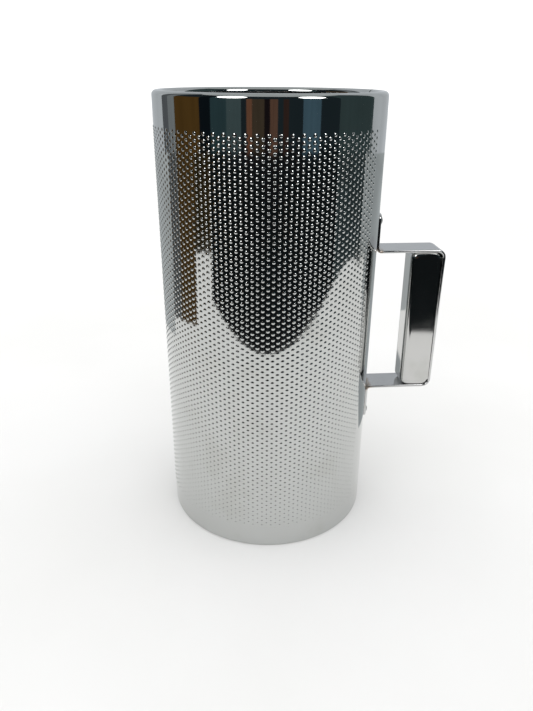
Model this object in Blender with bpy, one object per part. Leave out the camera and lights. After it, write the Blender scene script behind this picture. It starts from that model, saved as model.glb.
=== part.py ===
"""A chimney charcoal starter: a chromed sheet cylinder with a strap handle and a fixed wire grate.

Everything is modelled about the cylinder's axis, with the handle towards +X and the base at z = 0.
One empty carries all the pieces and moves the axis towards -X, so that the origin lies under the
middle of the whole object, handle included.
"""

import math

import bmesh
import bpy

# The cylinder: one rolled sheet, curled inwards at the top and hemmed inwards at the bottom.
BODY_RADIUS = 0.075
BODY_HEIGHT = 0.305
SHEET = 0.0008
RIM_RADIUS = 0.003
RIM_CURL_DEGREES = 216.0
RIM_CURL_STEPS = 12
HEM_HEIGHT = 0.008
HEM_THICKNESS = 0.0020
HEM_CORNER = 0.0005
BODY_SEGMENTS = 80

# The handle: a flat strap bent into a hat shape, its two tabs riveted to the cylinder.
STRAP_WIDTH = 0.022
STRAP_THICKNESS = 0.0020
STRAP_REACH = 0.1253
TOP_TAB_END = 0.2270
TOP_ARM_TOP = 0.2017
BOTTOM_ARM_UNDERSIDE = 0.0933
BOTTOM_TAB_END = 0.0680
TAB_BEND_RADIUS = 0.0030
OUTER_BEND_RADIUS = 0.0050
TAB_CORNER = 0.0040
ROOT_BLEND = 0.0150
STRAP_COLUMNS = 8
BEND_STEPS = 6

# The hand grip: a pressed sheet box that fills the strap's outer end.
GRIP_INNER_REACH = 0.1016
GRIP_WIDTH = 0.0200
GRIP_SHEET = 0.0010
GRIP_EDGE_RADIUS = 0.0040
GRIP_LIP = 0.0150
GRIP_EDGE_STEPS = 4

# Fasteners.
RIVET_SPACING = 0.0110
RIVET_END_DISTANCE = 0.0050
RIVET_SHANK_RADIUS = 0.0018
RIVET_HEAD_RADIUS = 0.0032
RIVET_HEAD_HEIGHT = 0.0013
RIVET_TAIL_RADIUS = 0.0029
RIVET_TAIL_HEIGHT = 0.0010
SCREW_SHANK_RADIUS = 0.0017
SCREW_HEAD_RADIUS = 0.0036
SCREW_HEAD_HEIGHT = 0.0016
SCREW_LENGTH = 0.0080
ROUND_SEGMENTS = 16

# The charcoal grate: parallel bars welded on a ring, which four clips hold to the wall.
GRATE_HEIGHT = 0.085
RING_WIRE_RADIUS = 0.0020
BAR_RADIUS = 0.0018
BAR_COUNT = 8
BAR_SPACING = 0.0160
CROSS_BAR_OFFSET = 0.0280
CROSS_BAR_SIDES = (("front", -1), ("back", 1))
CLIP_COUNT = 4
CLIP_SHEET = 0.0008
CLIP_WIDTH = 0.0080
CLIP_RISE = 0.0150
CLIP_WRAP_DEGREES = 255.0
RING_SEGMENTS = 64
WIRE_SEGMENTS = 10

# Touching pieces keep this much air between them.
GAP = 0.0003

# Sizes that follow from the ones above.
WALL_INSIDE = BODY_RADIUS - SHEET
TAB_INSIDE = BODY_RADIUS + GAP
TAB_MIDDLE = TAB_INSIDE + STRAP_THICKNESS / 2
TAB_OUTSIDE = TAB_INSIDE + STRAP_THICKNESS
OBJECT_REACH = STRAP_REACH + GAP + SCREW_HEAD_HEIGHT
AXIS_X = (BODY_RADIUS - OBJECT_REACH) / 2
TOP_ARM_UNDERSIDE = TOP_ARM_TOP - STRAP_THICKNESS
BOTTOM_ARM_TOP = BOTTOM_ARM_UNDERSIDE + STRAP_THICKNESS
GRIP_TOP = TOP_ARM_UNDERSIDE - GAP
GRIP_BOTTOM = BOTTOM_ARM_TOP + GAP
GRIP_OUTER_REACH = STRAP_REACH - STRAP_THICKNESS - GAP
TOP_RIVET_HEIGHT = TOP_TAB_END - RIVET_END_DISTANCE
BOTTOM_RIVET_HEIGHT = BOTTOM_TAB_END + RIVET_END_DISTANCE
TOP_SCREW_HEIGHT = GRIP_TOP - GRIP_LIP / 2
BOTTOM_SCREW_HEIGHT = GRIP_BOTTOM + GRIP_LIP / 2
CLIP_BACK = WALL_INSIDE - GAP
RING_RADIUS = CLIP_BACK - CLIP_SHEET - GAP - RING_WIRE_RADIUS
BAR_HEIGHT = GRATE_HEIGHT + RING_WIRE_RADIUS + GAP + BAR_RADIUS


def clear_scene():
    for old in list(bpy.data.objects):
        bpy.data.objects.remove(old, do_unlink=True)


def metal(name, colour, roughness):
    """A bare metal surface."""
    material = bpy.data.materials.new(name)
    material.use_nodes = True
    shader = material.node_tree.nodes["Principled BSDF"]
    shader.inputs["Base Color"].default_value = (*colour, 1.0)
    shader.inputs["Metallic"].default_value = 1.0
    shader.inputs["Roughness"].default_value = roughness
    material.diffuse_color = (*colour, 1.0)
    return material


def finish_mesh(name, shape, round_shading=True):
    """Turn a bmesh into a closed mesh whose faces point out."""
    bmesh.ops.remove_doubles(shape, verts=shape.verts, dist=1e-7)
    bmesh.ops.recalc_face_normals(shape, faces=shape.faces)
    mesh = bpy.data.meshes.new(name)
    shape.to_mesh(mesh)
    shape.free()
    if round_shading:
        mesh.shade_smooth()
        mesh.set_sharp_from_angle(angle=math.radians(35.0))
    return mesh


def place(name, mesh, material, parent, location=(0.0, 0.0, 0.0), rotation=(0.0, 0.0, 0.0)):
    """Add one named piece to the object."""
    piece = bpy.data.objects.new(name, mesh)
    bpy.context.scene.collection.objects.link(piece)
    if material and not mesh.materials:
        mesh.materials.append(material)
    piece.parent = parent
    piece.location = location
    piece.rotation_euler = rotation
    return piece


def arc(centre_x, centre_z, radius, start, end, steps):
    """Points on an arc in the XZ plane, with angles in degrees from +X towards +Z."""
    points = []
    for step in range(steps + 1):
        angle = math.radians(start + (end - start) * step / steps)
        points.append((centre_x + radius * math.cos(angle), centre_z + radius * math.sin(angle)))
    return points


def turned(profile, segments, closed):
    """Spin a profile of (radius, height) points about Z."""
    shape = bmesh.new()
    ring = [shape.verts.new((radius, 0.0, height)) for radius, height in profile]
    edges = [shape.edges.new(pair) for pair in zip(ring, ring[1:])]
    if closed:
        edges.append(shape.edges.new((ring[-1], ring[0])))
    bmesh.ops.spin(
        shape,
        geom=ring + edges,
        axis=(0.0, 0.0, 1.0),
        cent=(0.0, 0.0, 0.0),
        angle=2 * math.pi,
        steps=segments,
        use_merge=True,
    )
    return shape


def extruded(outline, width):
    """Extrude an outline of (x, z) points along Y, to both sides of y = 0."""
    shape = bmesh.new()
    corners = [shape.verts.new((x, -width / 2, z)) for x, z in outline]
    face = shape.faces.new(corners)
    side = bmesh.ops.extrude_face_region(shape, geom=[face])
    moved = [part for part in side["geom"] if isinstance(part, bmesh.types.BMVert)]
    bmesh.ops.translate(shape, verts=moved, vec=(0.0, width, 0.0))
    return shape


def rounded_box(low, high, radius, steps):
    """A box with its edges rounded, apart from the two upright ones at +X."""
    shape = bmesh.new()
    bmesh.ops.create_cube(shape, size=1.0)
    for corner in shape.verts:
        corner.co = [
            (low[axis] + high[axis]) / 2 + corner.co[axis] * (high[axis] - low[axis]) for axis in range(3)
        ]
    edges = []
    for edge in shape.edges:
        start, end = (corner.co for corner in edge.verts)
        upright = abs(end.z - start.z) > radius
        if not (upright and start.x > high[0] - radius):
            edges.append(edge)
    bmesh.ops.bevel(shape, geom=edges, offset=radius, segments=steps, profile=0.5, affect="EDGES")
    return shape


def drill(piece, cutter):
    """Cut a cutter's shape out of a piece."""
    cut = piece.modifiers.new("cut", "BOOLEAN")
    cut.operation = "DIFFERENCE"
    cut.solver = "EXACT"
    cut.object = cutter


def cutter_from(name, shape, parent):
    """A cutting tool, which isn't part of the object."""
    cutter = place(name, finish_mesh(name, shape, round_shading=False), None, parent)
    cutter.hide_render = True
    cutter.display_type = "WIRE"
    return cutter


def tab_rivet_places():
    """Name, azimuth and height of each handle rivet."""
    swing = math.asin(RIVET_SPACING / 2 / TAB_MIDDLE)
    places = []
    for level, height in (("upper", TOP_RIVET_HEIGHT), ("lower", BOTTOM_RIVET_HEIGHT)):
        for side, azimuth in (("front", -swing), ("back", swing)):
            places.append((f"handle_rivet_{level}_{side}", azimuth, height))
    return places


def rod_about_x(shape, radius, x_from, x_to, azimuth, height):
    """Add a round rod that lies along a radius of the cylinder, at an azimuth and a height."""
    made = bmesh.ops.create_cone(
        shape,
        cap_ends=True,
        segments=ROUND_SEGMENTS,
        radius1=radius,
        radius2=radius,
        depth=x_to - x_from,
    )
    middle = (x_from + x_to) / 2
    cosine = math.cos(azimuth)
    sine = math.sin(azimuth)
    for vertex in made["verts"]:
        across, up, along = vertex.co
        reach = middle + along
        vertex.co = (reach * cosine - across * sine, reach * sine + across * cosine, height + up)


def rivet_cutter(parent):
    """The holes for the four handle rivets, through the tabs and the wall."""
    shape = bmesh.new()
    for _, azimuth, height in tab_rivet_places():
        inside = WALL_INSIDE - 2 * SHEET
        outside = TAB_OUTSIDE + 2 * SHEET
        rod_about_x(shape, RIVET_SHANK_RADIUS + GAP, inside, outside, azimuth, height)
    return cutter_from("rivet_hole_cutter", shape, parent)


def screw_cutter(parent):
    """The holes for the two grip screws, through the strap and the grip's lips."""
    shape = bmesh.new()
    for height in (TOP_SCREW_HEIGHT, BOTTOM_SCREW_HEIGHT):
        inside = GRIP_OUTER_REACH - 2 * GRIP_SHEET
        outside = STRAP_REACH + GRIP_SHEET
        rod_about_x(shape, SCREW_SHANK_RADIUS + GAP, inside, outside, 0.0, height)
    return cutter_from("screw_hole_cutter", shape, parent)


def wall_profile():
    """The sheet's section: up the outside, over the rim's curl, down the inside, round the hem."""
    curl_x = BODY_RADIUS - RIM_RADIUS
    curl_z = BODY_HEIGHT - RIM_RADIUS
    outside = arc(curl_x, curl_z, RIM_RADIUS, 0.0, RIM_CURL_DEGREES, RIM_CURL_STEPS)
    inside = arc(curl_x, curl_z, RIM_RADIUS - SHEET, RIM_CURL_DEGREES, 0.0, RIM_CURL_STEPS)
    hem_inside = BODY_RADIUS - HEM_THICKNESS
    profile = [(BODY_RADIUS, HEM_CORNER)]
    profile += outside
    profile += inside
    profile += [
        (WALL_INSIDE, HEM_HEIGHT),
        (hem_inside, HEM_HEIGHT),
        (hem_inside, HEM_CORNER),
        (hem_inside + HEM_CORNER, 0.0),
        (BODY_RADIUS - HEM_CORNER, 0.0),
    ]
    return profile


def body_shell(parent, material, holes):
    shape = turned(wall_profile(), BODY_SEGMENTS, closed=True)
    shell = place("body_shell", finish_mesh("body_shell", shape), material, parent)
    drill(shell, holes)


def strap_path():
    """Stations along the middle of the strap's thickness, as (x, z, half width)."""
    half = STRAP_WIDTH / 2
    arm_top = TOP_ARM_TOP - STRAP_THICKNESS / 2
    arm_bottom = BOTTOM_ARM_UNDERSIDE + STRAP_THICKNESS / 2
    front = STRAP_REACH - STRAP_THICKNESS / 2
    root = TAB_MIDDLE + TAB_BEND_RADIUS
    turn = front - OUTER_BEND_RADIUS
    corner = []
    for step in range(5):
        angle = math.radians(90.0 * step / 4)
        corner.append((TAB_CORNER * (1 - math.cos(angle)), half - TAB_CORNER * (1 - math.sin(angle))))
    blend = [root + ROOT_BLEND * share / 3 for share in (1, 2, 3)]

    stations = [(TAB_MIDDLE, TOP_TAB_END - down, width) for down, width in corner]
    bend = arc(root, arm_top + TAB_BEND_RADIUS, TAB_BEND_RADIUS, 180, 270, BEND_STEPS)
    bend += [(x, arm_top) for x in blend]
    bend += arc(turn, arm_top - OUTER_BEND_RADIUS, OUTER_BEND_RADIUS, 90, 0, BEND_STEPS)
    bend += arc(turn, arm_bottom + OUTER_BEND_RADIUS, OUTER_BEND_RADIUS, 0, -90, BEND_STEPS)
    bend += [(x, arm_bottom) for x in reversed(blend)]
    bend += arc(root, arm_bottom - TAB_BEND_RADIUS, TAB_BEND_RADIUS, 90, 180, BEND_STEPS)
    stations += [(x, z, half) for x, z in bend]
    stations += [(TAB_MIDDLE, BOTTOM_TAB_END + up, width) for up, width in reversed(corner)]
    return stations


def wall_sag(x, y):
    """How far a strap point moves towards the axis, so that the tabs follow the round wall."""
    root = TAB_MIDDLE + TAB_BEND_RADIUS
    share = min(1.0, max(0.0, 1.0 - (x - root) / ROOT_BLEND))
    return share * (TAB_MIDDLE - math.sqrt(TAB_MIDDLE**2 - y**2))


def handle_strap(parent, material, rivet_holes, screw_holes):
    """Sweep the strap's flat section along its path."""
    path = strap_path()
    shape = bmesh.new()
    sections = []
    for number, (x, z, half) in enumerate(path):
        before = path[max(number - 1, 0)]
        after = path[min(number + 1, len(path) - 1)]
        run = math.hypot(after[0] - before[0], after[1] - before[1])
        normal_x = -(after[1] - before[1]) / run
        normal_z = (after[0] - before[0]) / run
        rows = []
        for side in (STRAP_THICKNESS / 2, -STRAP_THICKNESS / 2):
            row = []
            for column in range(STRAP_COLUMNS + 1):
                y = half * (2 * column / STRAP_COLUMNS - 1)
                point_x = x + normal_x * side
                row.append(shape.verts.new((point_x - wall_sag(point_x, y), y, z + normal_z * side)))
            rows.append(row)
        sections.append(rows[0] + rows[1][::-1])
    for this, following in zip(sections, sections[1:]):
        count = len(this)
        for corner in range(count):
            beyond = (corner + 1) % count
            shape.faces.new((this[corner], this[beyond], following[beyond], following[corner]))
    for section in (sections[0], sections[-1]):
        for column in range(STRAP_COLUMNS):
            shape.faces.new((section[column], section[column + 1], section[-2 - column], section[-1 - column]))
    strap = place("handle_strap", finish_mesh("handle_strap", shape), material, parent)
    drill(strap, rivet_holes)
    drill(strap, screw_holes)


def grip_shell(parent, material, screw_holes):
    """The hollow grip: closed at both ends and open towards the strap between two lips."""
    half = GRIP_WIDTH / 2
    low = (GRIP_INNER_REACH, -half, GRIP_BOTTOM)
    high = (GRIP_OUTER_REACH, half, GRIP_TOP)
    outside = rounded_box(low, high, GRIP_EDGE_RADIUS, GRIP_EDGE_STEPS)
    hollow_low = [value + GRIP_SHEET for value in low]
    hollow_high = [value - GRIP_SHEET for value in high]
    hollow = rounded_box(hollow_low, hollow_high, GRIP_EDGE_RADIUS - GRIP_SHEET, GRIP_EDGE_STEPS)
    mouth = bmesh.new()
    bmesh.ops.create_cube(mouth, size=1.0)
    mouth_width = GRIP_WIDTH - 6 * GRIP_SHEET
    mouth_height = GRIP_TOP - GRIP_BOTTOM - 2 * GRIP_LIP
    for corner in mouth.verts:
        corner.co.x = GRIP_OUTER_REACH + corner.co.x * 4 * GRIP_SHEET
        corner.co.y *= mouth_width
        corner.co.z = (GRIP_TOP + GRIP_BOTTOM) / 2 + corner.co.z * mouth_height
    grip = place("grip_shell", finish_mesh("grip_shell", outside), material, parent)
    drill(grip, cutter_from("grip_hollow_cutter", hollow, parent))
    drill(grip, cutter_from("grip_mouth_cutter", mouth, parent))
    drill(grip, screw_holes)


def dome(radius, base, height, steps):
    """A low dome's profile, from its edge at the base up to its top on the axis."""
    sphere = (radius**2 + height**2) / (2 * height)
    centre = base + height - sphere
    edge = math.degrees(math.asin((sphere - height) / sphere))
    points = arc(0.0, centre, sphere, edge, 90.0, steps)
    points[-1] = (0.0, base + height)
    return points


def handle_rivets(parent, material):
    """Round-headed rivets, with the head outside the tab and the formed tail inside the wall."""
    tail_top = WALL_INSIDE - GAP
    head_base = TAB_OUTSIDE + GAP
    profile = [
        (0.0, tail_top - RIVET_TAIL_HEIGHT),
        (RIVET_TAIL_RADIUS - RIVET_TAIL_HEIGHT / 2, tail_top - RIVET_TAIL_HEIGHT),
        (RIVET_TAIL_RADIUS, tail_top - RIVET_TAIL_HEIGHT / 2),
        (RIVET_TAIL_RADIUS, tail_top),
        (RIVET_SHANK_RADIUS, tail_top),
        (RIVET_SHANK_RADIUS, head_base),
    ]
    profile += dome(RIVET_HEAD_RADIUS, head_base, RIVET_HEAD_HEIGHT, 4)
    mesh = finish_mesh("handle_rivet", turned(profile, ROUND_SEGMENTS, closed=False))
    for name, azimuth, height in tab_rivet_places():
        place(name, mesh, material, parent, (0.0, 0.0, height), (0.0, math.pi / 2, azimuth))


def grip_screws(parent, material):
    """Pan-head screws through the strap into the grip's lips."""
    head_base = STRAP_REACH + GAP
    tip = head_base - SCREW_LENGTH
    profile = [
        (0.0, tip),
        (SCREW_SHANK_RADIUS / 2, tip),
        (SCREW_SHANK_RADIUS, tip + SCREW_SHANK_RADIUS),
        (SCREW_SHANK_RADIUS, head_base),
    ]
    profile += dome(SCREW_HEAD_RADIUS, head_base, SCREW_HEAD_HEIGHT, 4)
    mesh = finish_mesh("grip_screw", turned(profile, ROUND_SEGMENTS, closed=False))
    for level, height in (("upper", TOP_SCREW_HEIGHT), ("lower", BOTTOM_SCREW_HEIGHT)):
        place(f"grip_screw_{level}", mesh, material, parent, (0.0, 0.0, height), (0.0, math.pi / 2, 0.0))


def straight_wire(length, radius):
    """A round bar along X, centred on the origin."""
    shape = bmesh.new()
    made = bmesh.ops.create_cone(
        shape, cap_ends=True, segments=WIRE_SEGMENTS, radius1=radius, radius2=radius, depth=length
    )
    for vertex in made["verts"]:
        across, up, along = vertex.co
        vertex.co = (along, across, up)
    return shape


def grate(parent, material):
    """The ring, the bars that lie on it and the two bars that cross under them."""
    section = arc(RING_RADIUS, 0.0, RING_WIRE_RADIUS, 0.0, 360.0, WIRE_SEGMENTS)[:-1]
    ring = finish_mesh("grate_ring", turned(section, RING_SEGMENTS, closed=True))
    place("grate_ring", ring, material, parent, (0.0, 0.0, GRATE_HEIGHT))

    for number in range(BAR_COUNT):
        offset = (number - (BAR_COUNT - 1) / 2) * BAR_SPACING
        length = 2 * math.sqrt(RING_RADIUS**2 - (abs(offset) + BAR_RADIUS) ** 2)
        name = f"grate_bar_{number + 1}"
        mesh = finish_mesh(name, straight_wire(length, BAR_RADIUS))
        place(name, mesh, material, parent, (0.0, offset, BAR_HEIGHT))

    inside_ring = RING_RADIUS - RING_WIRE_RADIUS - GAP
    cross_length = 2 * math.sqrt(inside_ring**2 - (CROSS_BAR_OFFSET + BAR_RADIUS) ** 2)
    cross_height = BAR_HEIGHT - 2 * BAR_RADIUS - GAP
    mesh = finish_mesh("grate_cross_bar", straight_wire(cross_length, BAR_RADIUS))
    for side, sign in CROSS_BAR_SIDES:
        location = (sign * CROSS_BAR_OFFSET, 0.0, cross_height)
        place(f"grate_cross_bar_{side}", mesh, material, parent, location, (0.0, 0.0, math.pi / 2))


def grate_clips(parent, material):
    """Sheet strips welded to the wall, each wrapped under, round and over the ring's wire."""
    near = RING_WIRE_RADIUS + GAP
    far = near + CLIP_SHEET
    steps = 12
    under = arc(RING_RADIUS, 0.0, far, 0.0, -CLIP_WRAP_DEGREES, steps)
    over = arc(RING_RADIUS, 0.0, near, -CLIP_WRAP_DEGREES, 0.0, steps)
    outline = [(RING_RADIUS + far, CLIP_RISE)] + under + over + [(RING_RADIUS + near, CLIP_RISE)]
    mesh = finish_mesh("grate_clip", extruded(outline, CLIP_WIDTH))
    for number in range(CLIP_COUNT):
        turn = 2 * math.pi * number / CLIP_COUNT
        place(f"grate_clip_{number + 1}", mesh, material, parent, (0.0, 0.0, GRATE_HEIGHT), (0.0, 0.0, turn))


def main():
    clear_scene()
    axis = bpy.data.objects.new("chimney_axis", None)
    bpy.context.scene.collection.objects.link(axis)
    axis.location = (AXIS_X, 0.0, 0.0)

    rivet_holes = rivet_cutter(axis)
    screw_holes = screw_cutter(axis)
    body_shell(axis, metal("body_chrome", (0.62, 0.64, 0.63), 0.06), rivet_holes)
    handle_strap(axis, metal("strap_chrome", (0.62, 0.63, 0.62), 0.08), rivet_holes, screw_holes)
    grip_shell(axis, metal("grip_chrome", (0.60, 0.61, 0.60), 0.07), screw_holes)
    handle_rivets(axis, metal("rivet_steel", (0.55, 0.55, 0.54), 0.22))
    grip_screws(axis, metal("screw_steel", (0.52, 0.52, 0.52), 0.25))
    grate(axis, metal("grate_wire", (0.42, 0.42, 0.41), 0.35))
    grate_clips(axis, metal("clip_sheet", (0.48, 0.48, 0.47), 0.32))


main()
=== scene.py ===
"""The looks of a chimney charcoal starter: a chromed cylinder pressed all over with small domes.

The CAD model is the frame. The wall is rebuilt here with its domes, seam, curled rim and folded hem, and
the handle, the fasteners and the grate are rebuilt with their fine edges. Everything is in metres, +Z up.
"""

import math

import bmesh
import bpy
import numpy as np
from mathutils import Matrix, Vector


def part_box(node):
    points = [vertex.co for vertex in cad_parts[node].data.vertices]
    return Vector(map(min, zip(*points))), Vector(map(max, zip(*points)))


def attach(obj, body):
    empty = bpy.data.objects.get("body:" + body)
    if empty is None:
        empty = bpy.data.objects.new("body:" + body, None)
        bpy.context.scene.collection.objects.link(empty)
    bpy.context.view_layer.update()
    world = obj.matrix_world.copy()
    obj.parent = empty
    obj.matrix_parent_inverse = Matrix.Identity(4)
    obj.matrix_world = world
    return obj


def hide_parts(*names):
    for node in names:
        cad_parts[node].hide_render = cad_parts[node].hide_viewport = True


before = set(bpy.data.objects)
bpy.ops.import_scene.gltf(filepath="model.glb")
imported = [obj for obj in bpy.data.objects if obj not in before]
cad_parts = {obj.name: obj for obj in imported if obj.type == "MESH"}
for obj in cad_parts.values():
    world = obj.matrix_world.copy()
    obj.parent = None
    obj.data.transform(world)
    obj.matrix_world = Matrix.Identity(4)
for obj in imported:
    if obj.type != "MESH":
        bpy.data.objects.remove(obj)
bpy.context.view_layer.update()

MM = 0.001
WELD = 1e-7  # points closer than this are one point

# Sizes read from the frame.
shell_low, shell_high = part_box("body_shell")
strap_low, strap_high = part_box("handle_strap")
grip_low, grip_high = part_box("grip_shell")
ring_low, ring_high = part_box("grate_ring")
BODY_RADIUS = (shell_high.y - shell_low.y) / 2
BODY_HEIGHT = shell_high.z
AXIS = Vector((shell_low.x + BODY_RADIUS, 0.0, 0.0))

# The sheet and its two edges.
SHEET = 0.8 * MM
RIM_RADIUS = 3.0 * MM
RIM_CURL_DEGREES = 216.0
HEM_HEIGHT = 8.0 * MM
HEM_THICKNESS = 2.0 * MM
HEM_SLOT_DEPTH = 2.0 * MM
TURN_STEPS = 240
CURL_STEPS, CURL_INSIDE_STEPS, LIP_STEPS, FOLD_STEPS = 36, 24, 8, 16
WALL_INSIDE = BODY_RADIUS - SHEET
SHEET_FACES = np.array((BODY_RADIUS, WALL_INSIDE))
OUTER_SKIN, INNER_SKIN = 0.28 * MM, 0.42 * MM

# The field of domes: upright columns, each staggered by half a pitch against the next.
COLUMN_COUNT = 118
COLUMN_PITCH = math.radians(2.458)
DOME_PITCH = 3.82 * MM
DOMES_IN_COLUMN = 70
LOWEST_DOME = 18.2 * MM
DOME_FOOT = 1.32 * MM
DOME_STEEPEST = 0.50
DOME_STEEPEST_AT = 0.66
HOLLOW_FOOT = 0.9 * DOME_FOOT
# The rings that a dome is cut into, as shares of its foot, and the sides of each ring.
DOME_RINGS, DOME_SIDES = (0.35, DOME_STEEPEST_AT, 1.0), 12
HOLLOW_RINGS, HOLLOW_SIDES = (0.7, 1.0), 6
PANEL_COUNT = 5
FIELD_BOTTOM = LOWEST_DOME - DOME_PITCH / 2
FIELD_TOP = FIELD_BOTTOM + (DOMES_IN_COLUMN + 0.5) * DOME_PITCH
PLAIN_HALF_ANGLE = math.pi - COLUMN_COUNT * COLUMN_PITCH / 2

# The lap seam in the plain strip behind the handle.
SEAM_AZIMUTH = math.radians(12.0)
SEAM_HALF_WIDTH = 0.3 * MM
SEAM_DEPTH = 0.2 * MM
SEAM_NOTCH = 1.1 * MM
SEAM_STEPS = 8
STRIP_STEPS_BEFORE, STRIP_STEPS_AFTER = 24, 10
SPOT_WELD_COUNT = 20
SPOT_WELD_FOOT = 2.0 * MM
SPOT_WELD_STEEPEST = 0.14
SPOT_WELD_HALF_ANGLE = math.radians(2.2)
SPOT_WELD_RINGS, SPOT_WELD_SIDES = (0.4, 0.8, 1.0), 16

# The handle.
GAP = 0.3 * MM
STRAP_THICKNESS = 2.0 * MM
STRAP_EDGE = 0.85 * MM
STRAP_COLUMNS, STRAP_EDGE_STEPS = 10, 4
TIP_EDGE_STEPS, TIP_CORNER_STEPS = 5, 9
TAB_BEND_RADIUS = 3.0 * MM
OUTER_BEND_RADIUS = 5.0 * MM
TAB_CORNER = 4.0 * MM
TAB_MIDDLE = BODY_RADIUS + GAP + STRAP_THICKNESS / 2
STRAP_ROOT = TAB_MIDDLE + TAB_BEND_RADIUS
ROOT_BLEND = 15.0 * MM
BLEND_STEPS = 6
GRIP_RADII = (5.0 * MM, 1.8 * MM, 4.7 * MM)  # of its corners, its edges, and its edges on the -X side
GRIP_ROUND_STEPS = 8
GRIP_SHEET = 1.0 * MM
GRIP_LIP = 15.0 * MM
GRIP_MOUTH_DEPTH = 4 * GRIP_SHEET
GRIP_MOUTH_MARGINS = 6 * GRIP_SHEET
GRIP_LEAN = math.radians(1.9)

# Rivets, as (radius, distance inside the wall) in mm for the formed tail, and screws.
RIVET_TAIL = ((0.0, 1.25), (1.6, 1.2), (2.5, 0.9), (2.9, 0.4), (2.9, 0.0))
RIVET_SHANK, RIVET_HEAD, RIVET_COLLAR, RIVET_DOME = 1.8 * MM, 3.2 * MM, 0.15 * MM, 1.3 * MM
SCREW_LENGTH, SCREW_SHANK, SCREW_HEAD = 7.7 * MM, 1.7 * MM, 3.6 * MM
SCREW_CHEEK, SCREW_DOME_BASE, SCREW_DOME = 0.35 * MM, 0.4 * MM, 1.45 * MM
SPUN_STEPS = 32
DOME_STEPS = 10
# The screws' cross recess: length and width at its floor and at its mouth, and where those are.
RECESS_FLOOR, RECESS_MOUTH = (2.2 * MM, 0.6 * MM), (3.8 * MM, 0.9 * MM)
RECESS_DEPTH, RECESS_ABOVE = 1.1 * MM, 0.5 * MM

# The grate.
WIRE_SIDES = 24
RING_STEPS = 160
BEAD_AT_RING, BEAD_AT_CROSSING = 1.5 * MM, 1.4 * MM
BEAD_SHAPE = (1.35, 1.35, 0.9, 1.0)
CLIP_EDGE = 0.12 * MM


# ---- meshes ----


class Patchwork:
    """Collects faces whose corners carry their own true normals, and welds them into one mesh."""

    def __init__(self):
        self.points, self.normals, self.count = [], [], 0
        self.faces = {3: [], 4: []}

    def add(self, points, normals, faces):
        """Add points with normals, and faces as an array of three or four point numbers each."""
        self.points.append(points)
        self.normals.append(normals)
        self.faces[faces.shape[1]].append(faces + self.count)
        self.count += len(points)

    def mesh(self, name):
        points = np.concatenate(self.points)
        normals = np.concatenate(self.normals)
        normals = normals / np.linalg.norm(normals, axis=1, keepdims=True)
        keys = np.round(points / WELD).astype(np.int64)
        _, first, place = np.unique(keys, axis=0, return_index=True, return_inverse=True)
        place = place.reshape(-1)
        blocks = [np.concatenate(found) for found in self.faces.values() if found]
        faces = [face for block in blocks for face in place[block].tolist()]
        corners = np.concatenate([normals[block].reshape(-1, 3) for block in blocks])
        mesh = bpy.data.meshes.new(name)
        mesh.from_pydata(points[first].tolist(), [], faces)
        mesh.shade_smooth()
        mesh.normals_split_custom_set(corners.tolist())
        return mesh


def on_cylinder(azimuth, radius, height, across=0.0, out=1.0, up=0.0):
    """Points about the cylinder's axis, and normals given across, out of and up the wall."""
    given = np.broadcast_arrays(azimuth, radius, height, across, out, up)
    azimuth, radius, height, across, out, up = given
    cosine, sine = np.cos(azimuth), np.sin(azimuth)
    points = np.stack((AXIS.x + radius * cosine, radius * sine, height), axis=-1)
    normals = np.stack((out * cosine - across * sine, out * sine + across * cosine, up), axis=-1)
    return points.reshape(-1, 3), normals.reshape(-1, 3)


def dome_profile(distance, foot, steepest):
    """Height and slope of a pressed dome at a distance from its middle: a cap that ends in a fillet."""
    turn = DOME_STEEPEST_AT * foot
    beyond = np.maximum(foot - distance, 0.0)
    within = np.maximum(turn**2 - distance**2, 0.0)
    on_cap = distance < turn
    fillet = foot - turn
    height = steepest * np.where(on_cap, fillet / 2 + within / (2 * turn), beyond**2 / (2 * fillet))
    slope = -steepest * np.where(on_cap, distance / turn, beyond / fillet)
    return height, slope


def stitch(inner, outer):
    """Triangles between two rings of points, each a list of (number, angle) that starts at angle 0."""
    faces = []
    i = j = 0
    inner = inner + [(inner[0][0], 2 * math.pi)]
    outer = outer + [(outer[0][0], 2 * math.pi)]
    while i < len(inner) - 1 or j < len(outer) - 1:
        outer_next = j < len(outer) - 1 and (i == len(inner) - 1 or outer[j + 1][1] < inner[i + 1][1])
        if outer_next:
            faces.append((inner[i][0], outer[j][0], outer[j + 1][0]))
            j += 1
        else:
            faces.append((inner[i][0], outer[j][0], inner[i + 1][0]))
            i += 1
    return faces


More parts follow.
